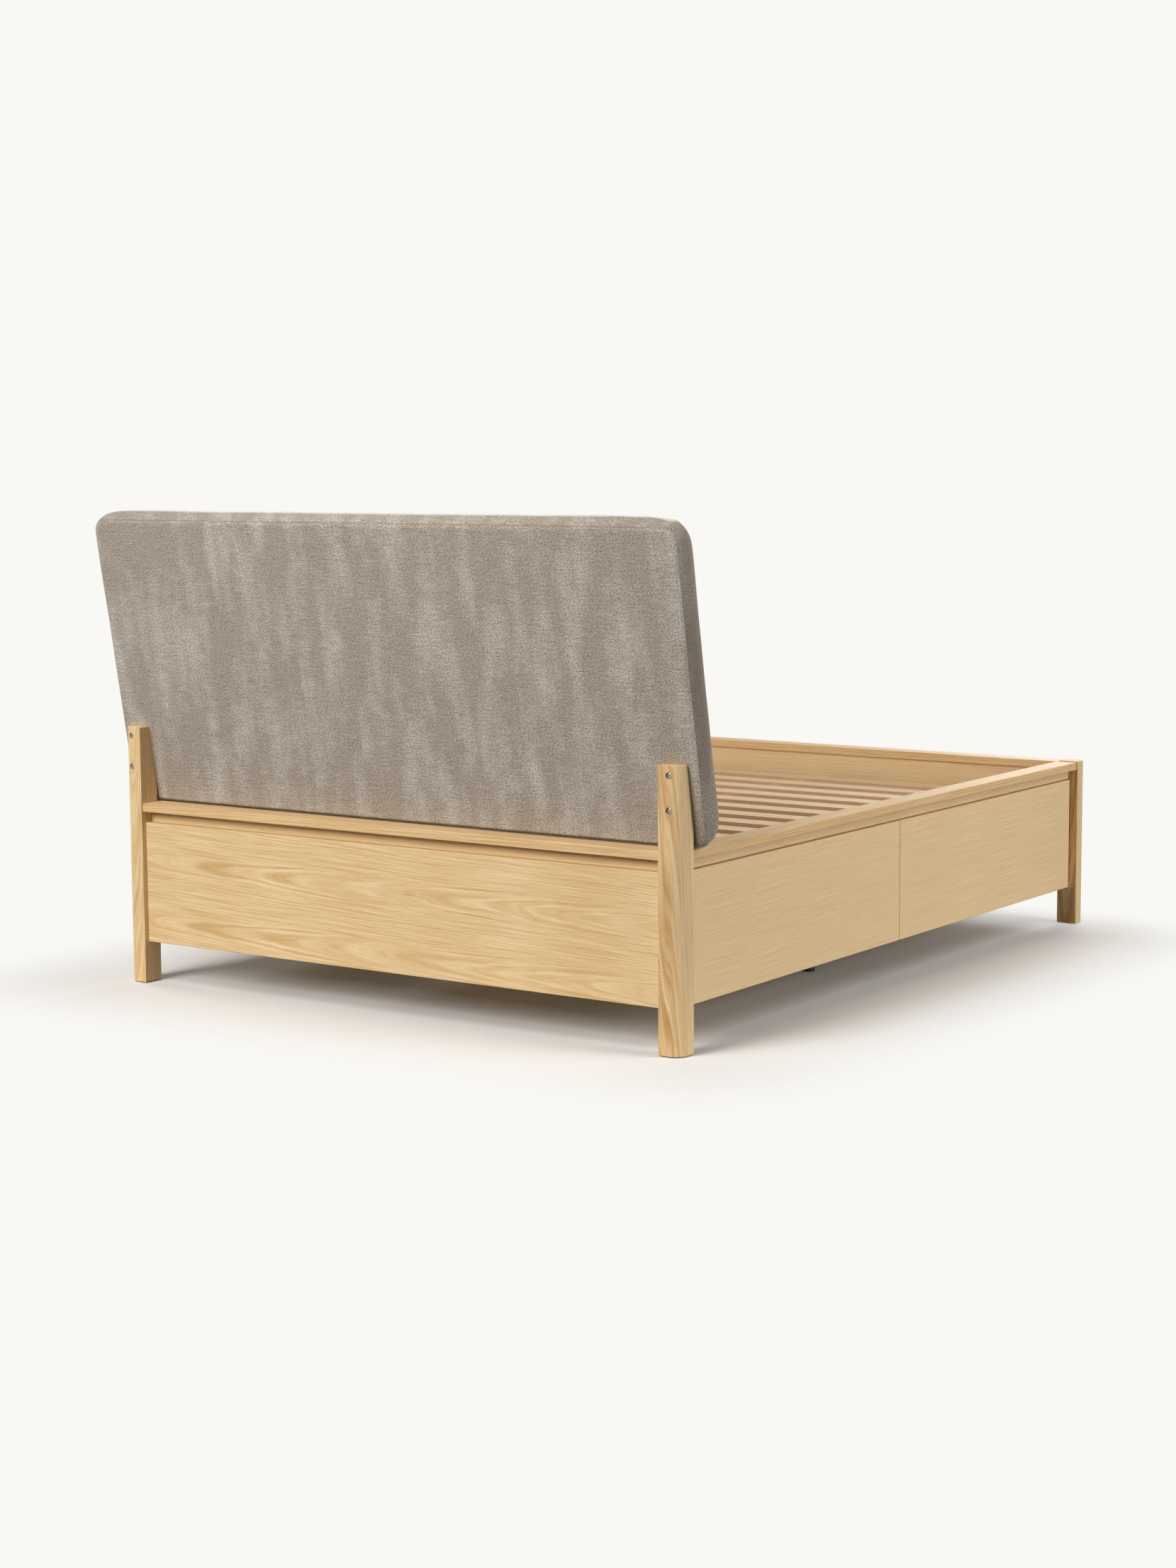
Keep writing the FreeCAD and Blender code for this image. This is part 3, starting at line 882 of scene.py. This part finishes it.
hardware = {
    "zinc_steel": plated_metal(
        "zinc_plated_steel", "#c3c7cb", "#a9adb2", crystal=3.0 * mm, smooth=0.3, rough=0.5
    ),
    "nickel": plated_metal(
        "satin_nickel_plate", "#b9b3a8", "#a8a297", crystal=1.2 * mm, smooth=0.22, rough=0.4
    ),
    "black_metal": dark_coat(
        "black_powder_coat", "#161617", "#242322", grit=0.8 * mm, smooth=0.45, rough=0.6
    ),
    "glide": dark_coat(
        "black_moulded_plastic", "#1c1b1a", "#2b2927", grit=0.5 * mm, smooth=0.5, rough=0.7
    ),
}
slot_of = {part["node"]: part["material_slot"] for part in frame["record"]["subparts"]}
for seed, node in enumerate(sorted(frame["nodes"])):
    slot = slot_of[node]
    if slot == "oak":
        dress(node, oak("oak_" + node, node, seed, **oak_cut(node)))
    elif slot == "beech":
        dress(node, beech("beech_" + node, node))
    elif slot == "plywood":
        dress(node, plywood("plywood_" + node, node))
    elif slot in hardware:
        dress(node, hardware[slot])

# Padded headboard

pad_up = Vector((0, math.sin(lean), math.cos(lean)))
pad_forward = Vector((0, -math.cos(lean), math.sin(lean)))
pad_base = Vector((0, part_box("head_post_left")[1].y - pad_set_in, pad_bottom))
cells_across = round(2 * (pad_half_width - pad_face_inset) / pad_cell)
cells_up = round((pad_length - 2 * pad_face_inset) / pad_cell)
cells_of_sides = (cells_across, cells_up, cells_across, cells_up)
around = sum(cells_of_sides)


def rectangle(inset):
    """The headboard's four corners at an inset, from the lower left one round to the upper left."""
    half = pad_half_width - inset
    low, high = inset, pad_length - inset
    return np.array([(-half, low), (half, low), (half, high), (-half, high)])


def rounded_ring(inset, forward=0.0):
    """Points round the headboard at an inset, evenly spaced between its corners' middles.

    The corners grow rounder from the back (forward 0) to the padded face (forward 1).
    """
    growth = (pad_front_corner_radius - pad_corner_radius) * forward ** pad_corner_growth
    radius = max(pad_corner_radius + growth - inset, pad_least_radius)
    corners = rectangle(inset)
    points = []
    for index, cells in enumerate(cells_of_sides):
        start, end = corners[index], corners[(index + 1) % 4]
        length = np.linalg.norm(end - start)
        along = (end - start) / length
        inward = np.array([-along[1], along[0]])
        quarter = radius * math.pi / 4
        total = 2 * quarter + length - 2 * radius
        for cell in range(cells):
            travelled = total * cell / cells
            if travelled < quarter:
                turn = math.pi / 4 - travelled / radius
                reach = radius - radius * math.sin(turn)
                rise = radius - radius * math.cos(turn)
            elif travelled > total - quarter:
                turn = (travelled - total + quarter) / radius
                reach = length - radius + radius * math.sin(turn)
                rise = radius - radius * math.cos(turn)
            else:
                reach, rise = radius + travelled - quarter, 0.0
            points.append(start + along * reach + inward * rise)
    return np.array(points)


def square_ring(inset):
    """Points round a sharp rectangle at an inset, evenly spaced on each side."""
    corners = rectangle(inset)
    sides = []
    for index, cells in enumerate(cells_of_sides):
        share = np.arange(cells)[:, None] / cells
        sides.append(corners[index] * (1 - share) + corners[(index + 1) % 4] * share)
    return np.concatenate(sides)


def crown_rise(points):
    """How far the padded face stands out at each point, fullest away from its edges."""
    from_side = pad_half_width - np.abs(points[:, 0])
    from_end = np.minimum(points[:, 1], pad_length - points[:, 1])
    edge = np.minimum(from_side, from_end)
    share = np.clip((edge - (pad_front_radius - pad_border_bulge)) / pad_crown_reach, 0, 1)
    return pad_crown * np.sin(share * math.pi / 2)


def pad_profile():
    """Insets and depths from the flat back round the border to the padded face."""
    profile = []
    for degrees in back_turns:
        turn = math.radians(degrees)
        inset = pad_back_radius * (1 - math.sin(turn))
        profile.append((inset, pad_back_radius * (1 - math.cos(turn))))
    border_end = pad_thickness - pad_front_radius
    for share in border_shares:
        depth = pad_back_radius + (border_end - pad_back_radius) * share
        profile.append((-pad_border_bulge * math.sin(share * math.pi / 2), depth))
    for degrees in front_turns:
        turn = math.radians(degrees)
        inset = pad_front_radius * (1 - math.cos(turn)) - pad_border_bulge
        profile.append((inset, border_end + pad_front_radius * math.sin(turn)))
    return profile


def pad_mesh():
    """The headboard as one closed quad mesh: back grid, rings round the border, front grid.

    Returns its points (across, up, deep), its faces, which faces belong to the back panel, the
    padded side's weave place at each point, the seam's ring, and the span of the back grid.
    """
    profile = pad_profile()
    square = square_ring(pad_face_inset)
    edge_back = rounded_ring(profile[0][0])
    rings = []
    for share in back_face_shares:
        points = edge_back * (1 - share) + square * share
        rings.append(np.column_stack([points, np.zeros(around)]))
    seam_ring = len(rings) + back_turns.index(seam_angle)
    for inset, depth in profile:
        points = rounded_ring(inset, depth / pad_thickness)
        rings.append(np.column_stack([points, np.full(around, depth)]))
    edge_front = rounded_ring(pad_front_radius - pad_border_bulge, 1.0)
    edge_ring = len(rings)
    for share in front_face_shares:
        points = edge_front * (1 - share) + square * share
        rings.append(np.column_stack([points, pad_thickness + crown_rise(points)]))
    half = pad_half_width - pad_face_inset
    columns = np.linspace(-half, half, cells_across + 1)[1:-1]
    rows = np.linspace(pad_face_inset, pad_length - pad_face_inset, cells_up + 1)[1:-1]
    inner = np.array([(x, y) for y in rows for x in columns])
    points = np.concatenate(rings + [
        np.column_stack([inner, np.zeros(len(inner))]),
        np.column_stack([inner, pad_thickness + crown_rise(inner)]),
    ])
    # Its weight flattens the roll along the bottom
    rolled = (points[:, 2] < pad_back_radius) & (points[:, 1] < 2 * pad_back_radius)
    points[rolled, 1] **= 2
    points[rolled, 1] /= 2 * pad_back_radius
    # The top fifth bows up between the corners
    upper = np.clip(points[:, 1] / pad_length * 5 - 4, 0, 1)
    behind = np.clip(points[:, 2] / (pad_thickness - pad_front_radius), 0, 1)
    between = 1 - (points[:, 0] / (pad_half_width + pad_border_bulge)) ** pad_top_bow_power
    points[:, 1] += pad_top_bow * upper * behind * between
    # The padded side's cloth runs on from the face over the border, so its weave is measured
    # along the profile; the third number says how far it has turned on to a side border
    weave = np.column_stack([points[:, :2], np.zeros(len(points))])
    outward = rounded_ring(0.0) - rounded_ring(outward_step)
    outward /= np.linalg.norm(outward, axis=1)[:, None]
    travelled = 0.0
    for ring in range(edge_ring - 1, seam_ring - 1, -1):
        travelled += np.linalg.norm(rings[ring] - rings[ring + 1], axis=1).mean()
        span = slice(ring * around, (ring + 1) * around)
        weave[span, :2] = rings[edge_ring][:, :2] + outward * travelled
        # The chenille paints shade on the side borders by this third number
        weave[span, 2] = min(1.0, travelled / pad_front_radius) * outward[:, 0] ** 2
    faces = []
    of_back = []
    for ring in range(len(rings) - 1):
        near, far = ring * around, (ring + 1) * around
        for step in range(around):
            following = (step + 1) % around
            faces.append((near + step, far + step, far + following, near + following))
            of_back.append(ring < seam_ring)

    def grid_point(column, row, ring, first_inner):
        """The point at a grid place: on the ring at the grid's edge, or inside."""
        if row == 0:
            return ring * around + column
        if column == cells_across:
            return ring * around + cells_across + row
        if row == cells_up:
            return ring * around + 2 * cells_across + cells_up - column
        if column == 0:
            return ring * around + 2 * cells_across + 2 * cells_up - row
        return first_inner + (row - 1) * (cells_across - 1) + column - 1

    back_inner = len(rings) * around
    front_inner = back_inner + len(inner)
    last_ring = len(rings) - 1
    for row in range(cells_up):
        for column in range(cells_across):
            corners = (column, row), (column + 1, row), (column + 1, row + 1), (column, row + 1)
            faces.append([grid_point(*corner, 0, back_inner) for corner in corners])
            of_back.append(True)
            turned = reversed(corners)
            faces.append([grid_point(*corner, last_ring, front_inner) for corner in turned])
            of_back.append(False)
    return points, faces, np.array(of_back), weave, seam_ring, slice(back_inner, front_inner)


def on_headboard(points):
    """Points given across, up and deep, moved into the leaning headboard's place."""
    axes = np.array([(1, 0, 0), tuple(pad_up), tuple(pad_forward)])
    return points @ axes + np.array(pad_base)


pad_points, pad_faces, pad_of_back, pad_weave, seam_ring, back_inside = pad_mesh()
pad_data = bpy.data.meshes.new("headboard_pad")
pad_data.from_pydata(on_headboard(pad_points).tolist(), [], pad_faces)
pad_data.polygons.foreach_set("use_smooth", [True] * len(pad_faces))
pad = bpy.data.objects.new("headboard_pad", pad_data)
scene.collection.objects.link(pad)

# The weave's place at each corner of each face, and each point's distance from the seam
corner_points = np.zeros(len(pad_data.loops), int)
pad_data.loops.foreach_get("vertex_index", corner_points)
corner_of_back = np.repeat(pad_of_back, 4)
corner_weave = pad_weave[corner_points]
corner_weave[corner_of_back, :2] = pad_points[corner_points[corner_of_back], :2]
corner_weave[corner_of_back, 2] = 0.0
weave_attribute = pad_data.attributes.new("weave", "FLOAT_VECTOR", "CORNER")
weave_attribute.data.foreach_set("vector", corner_weave.astype(np.float32).ravel())
seam_points = pad_points[seam_ring * around:(seam_ring + 1) * around]
from_seam = np.ones(len(pad_points))
for ring in range(seam_ring - rings_beside_seam, seam_ring + rings_beside_seam + 1):
    span = slice(ring * around, (ring + 1) * around)
    from_seam[span] = np.linalg.norm(pad_points[span] - seam_points, axis=1)
seam_attribute = pad_data.attributes.new("from_seam", "FLOAT", "POINT")
seam_attribute.data.foreach_set("value", from_seam.astype(np.float32))


def swell(piece, held, give):
    """Lets pressure swell the padded side as foam does, and eases how far each point may move.

    The give of each point is 0 where the cloth is held flat and 1 where the foam is full.
    """
    group = piece.vertex_groups.new(name="held")
    group.add(held, 1.0, "REPLACE")
    cloth = piece.modifiers.new("foam", "CLOTH")
    cloth.settings.quality = 6
    cloth.settings.mass = 0.3
    cloth.settings.tension_stiffness = 30
    cloth.settings.compression_stiffness = 30
    cloth.settings.shear_stiffness = 15
    cloth.settings.bending_stiffness = 4
    cloth.settings.use_pressure = True
    cloth.settings.uniform_pressure_force = foam_pressure
    cloth.settings.vertex_group_mass = "held"
    cloth.settings.effector_weights.gravity = 0
    cloth.collision_settings.use_collision = False
    cloth.point_cache.frame_start = 1
    cloth.point_cache.frame_end = foam_frames
    for step in range(1, foam_frames + 1):
        scene.frame_set(step)
    swollen = piece.evaluated_get(bpy.context.evaluated_depsgraph_get()).data
    after = np.zeros(len(swollen.vertices) * 3)
    swollen.vertices.foreach_get("co", after)
    piece.modifiers.remove(cloth)
    piece.vertex_groups.remove(group)
    scene.frame_set(1)
    before = np.zeros(len(after))
    piece.data.vertices.foreach_get("co", before)
    move = (after - before).reshape(-1, 3)
    distance = np.linalg.norm(move, axis=1)
    eased = give * foam_rise_limit * np.tanh(distance / foam_rise_limit)
    moved = before.reshape(-1, 3) + move * (eased / np.maximum(distance, 1e-9))[:, None]
    piece.data.vertices.foreach_set("co", moved.ravel())
    piece.data.update()


held_points = list(range((seam_ring + rings_held_past_seam) * around))
held_points += range(back_inside.start, back_inside.stop)
foam_give = np.clip(pad_points[:, 2] / (pad_thickness - pad_front_radius), 0, 1)
swell(pad, held_points, foam_give ** 2)


def sew_seam(piece):
    """Draws the seam in as a groove between two soft rolls, and lets the cloth lie unevenly."""
    mesh = piece.data
    normals = np.zeros(len(mesh.vertices) * 3)
    mesh.vertex_normals.foreach_get("vector", normals)
    normals = normals.reshape(-1, 3)
    places = np.zeros(len(mesh.vertices) * 3)
    mesh.vertices.foreach_get("co", places)
    places = places.reshape(-1, 3)
    uneven = np.array([noise.noise(Vector(place) / cloth_wave) for place in places])
    offset = uneven * cloth_wave_height
    offset[back_inside] *= back_wave_share
    offset += seam_roll * np.exp(-((from_seam - seam_half_width) / (seam_half_width / 2)) ** 2)
    offset -= seam_groove * np.exp(-(from_seam / (seam_half_width / 3)) ** 2)
    places += normals * offset[:, None]
    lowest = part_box("head_cap_rail")[1].z + rest_gap
    places[:, 2] = np.maximum(places[:, 2], lowest)
    mesh.vertices.foreach_set("co", places.ravel())
    mesh.update()


sew_seam(pad)
smooth = pad.modifiers.new("smooth", "SUBSURF")
smooth.levels = 1
smooth.render_levels = 1


def chenille(name):
    """Chenille, woven: dull and soft, with plump nubs and a nap that shades it in streaks."""
    material, tree, shader = new_material(name)
    woven = add_node(tree, "ShaderNodeAttribute", attribute_name="weave").outputs["Vector"]
    across, up, on_border = add_node(tree, "ShaderNodeSeparateXYZ", {0: woven}).outputs
    # Weft yarn in short plump nubs, and single threads that stand proud
    yarn_grid = add_node(
        tree, "ShaderNodeVectorMath",
        {0: woven, 1: (1 / nub_width, 1 / nub_height, 0.0)},
        operation="MULTIPLY"
    )
    yarn = add_node(
        tree, "ShaderNodeTexNoise",
        {"Vector": yarn_grid.outputs[0], "Scale": 1.0, "Detail": 3.0, "Roughness": 0.75}
    )
    thread_grid = add_node(
        tree, "ShaderNodeVectorMath",
        {0: woven, 1: (1 / thread_length, 1 / thread_height, 0.0)},
        operation="MULTIPLY"
    )
    thread = add_node(
        tree, "ShaderNodeTexNoise",
        {"Vector": thread_grid.outputs[0], "Scale": 1.0, "Detail": 0.0}
    )
    raised = add_node(
        tree, "ShaderNodeMath",
        {0: thread.outputs[0], 1: 0.12, 2: yarn.outputs[0]},
        operation="MULTIPLY_ADD"
    )
    plump = add_node(
        tree, "ShaderNodeMapRange",
        {"Value": raised.outputs[0], "From Min": 0.38, "From Max": 0.74}
    )
    # Soft upright streaks where the nap was brushed, and a finer mottle
    streak_grid = add_node(
        tree, "ShaderNodeVectorMath",
        {0: woven, 1: (1 / nap_streak_width, 1 / nap_streak_length, 0.0)},
        operation="MULTIPLY"
    )
    streaks = add_node(
        tree, "ShaderNodeTexNoise",
        {"Vector": streak_grid.outputs[0], "Scale": 1.0, "Detail": 2.0, "Roughness": 0.5}
    )
    mottle = add_node(
        tree, "ShaderNodeTexNoise",
        {"Vector": woven, "Scale": 1 / mottle_size, "Detail": 5.0, "Roughness": 0.68}
    )
    lifted = add_node(
        tree, "ShaderNodeMath",
        {0: mottle.outputs[0], 1: 0.55, 2: streaks.outputs[0]},
        operation="MULTIPLY_ADD"
    )
    brushed = add_node(
        tree, "ShaderNodeMapRange",
        {"Value": lifted.outputs[0], "From Min": 0.7, "From Max": 1.06}
    )
    nap = add_node(
        tree, "ShaderNodeMix",
        {
            share_in: brushed.outputs[0],
            first_in: linear(nap_tones["flat"]),
            second_in: linear(nap_tones["brushed"]),
        },
        data_type="RGBA"
    )
    valley = add_node(
        tree, "ShaderNodeMapRange",
        {"Value": plump.outputs[0], "To Min": 0.9, "To Max": 0.0}
    )
    lit_weave = add_node(
        tree, "ShaderNodeMix",
        {
            share_in: valley.outputs[0],
            first_in: nap.outputs[colour_out],
            second_in: linear(nap_tones["valley"]),
        },
        data_type="RGBA"
    )
    # On the side borders the pile lies the other way, and they are darkened further as painted
    # shade for the weaker light on them
    nap_against_and_shade = add_node(tree, "ShaderNodeMath", {0: on_border, 1: 0.5}, operation="MULTIPLY")
    weave_tone = add_node(
        tree, "ShaderNodeMix",
        {
            share_in: nap_against_and_shade.outputs[0],
            first_in: lit_weave.outputs[colour_out],
            second_in: linear(nap_tones["nap_against_and_shade"]),
        },
        data_type="RGBA"
    )
    # Painted highlight: faces of the top border that look up are painted paler, standing for the
    # light that falls on them from above
    surface = add_node(tree, "ShaderNodeNewGeometry")
    facing = add_node(tree, "ShaderNodeSeparateXYZ", {0: surface.outputs["Normal"]})
    top_highlight = add_node(
        tree, "ShaderNodeMapRange",
        {"Value": facing.outputs["Z"], "From Min": 0.82, "From Max": 1.0, "To Max": 0.8},
        interpolation_type="SMOOTHSTEP"
    )
    highlighted_tone = add_node(
        tree, "ShaderNodeMix",
        {
            share_in: top_highlight.outputs[0],
            first_in: weave_tone.outputs[colour_out],
            second_in: linear(top_highlight_colour),
        },
        data_type="RGBA"
    )
    # Painted shade: the seam's line, and the hem along the bottom between the corners, are darkened
    # as if lying in their own shade
    beside = add_node(tree, "ShaderNodeAttribute", attribute_name="from_seam")
    painted_seam_shade = add_node(
        tree, "ShaderNodeMapRange",
        {
            "Value": beside.outputs["Fac"], "From Max": stitch_half_width,
            "To Min": 0.3, "To Max": 0.0,
        },
        interpolation_type="SMOOTHSTEP"
    )
    hem = add_node(
        tree, "ShaderNodeMapRange",
        {"Value": up, "From Min": hem_low, "From Max": hem_high, "To Min": 0.85, "To Max": 0.0}
    )
    from_middle = add_node(tree, "ShaderNodeMath", {0: across}, operation="ABSOLUTE")
    between = add_node(
        tree, "ShaderNodeMapRange",
        {
            "Value": from_middle.outputs[0],
            "From Min": pad_half_width - 2 * pad_corner_radius,
            "From Max": pad_half_width - pad_corner_radius,
            "To Min": 1.0, "To Max": 0.0,
        }
    )
    hem_shade = add_node(
        tree, "ShaderNodeMath", {0: hem.outputs[0], 1: between.outputs[0]}, operation="MULTIPLY"
    )
    shaded = add_node(
        tree, "ShaderNodeMath",
        {0: painted_seam_shade.outputs[0], 1: hem_shade.outputs[0]},
        operation="MAXIMUM"
    )
    colour = add_node(
        tree, "ShaderNodeMix",
        {
            share_in: shaded.outputs[0],
            first_in: highlighted_tone.outputs[colour_out],
            second_in: linear(seam_shade_colour),
        },
        data_type="RGBA"
    )
    relief = add_node(
        tree, "ShaderNodeBump",
        {"Height": plump.outputs[0], "Strength": 0.7, "Distance": 0.8 * mm}
    )
    set_inputs(tree, shader, {
        "Base Color": colour.outputs[colour_out],
        "Normal": relief.outputs[0],
        "Roughness": 0.92,
        "Specular IOR Level": 0.2,
        "Sheen Weight": 0.12,
        "Sheen Roughness": 0.45,
        "Sheen Tint": linear(sheen_colour),
    })
    return material


pad_data.materials.append(chenille("grey_brown_chenille"))
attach(pad, "frame")
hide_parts("headboard_cushion", "headboard_back_cover")
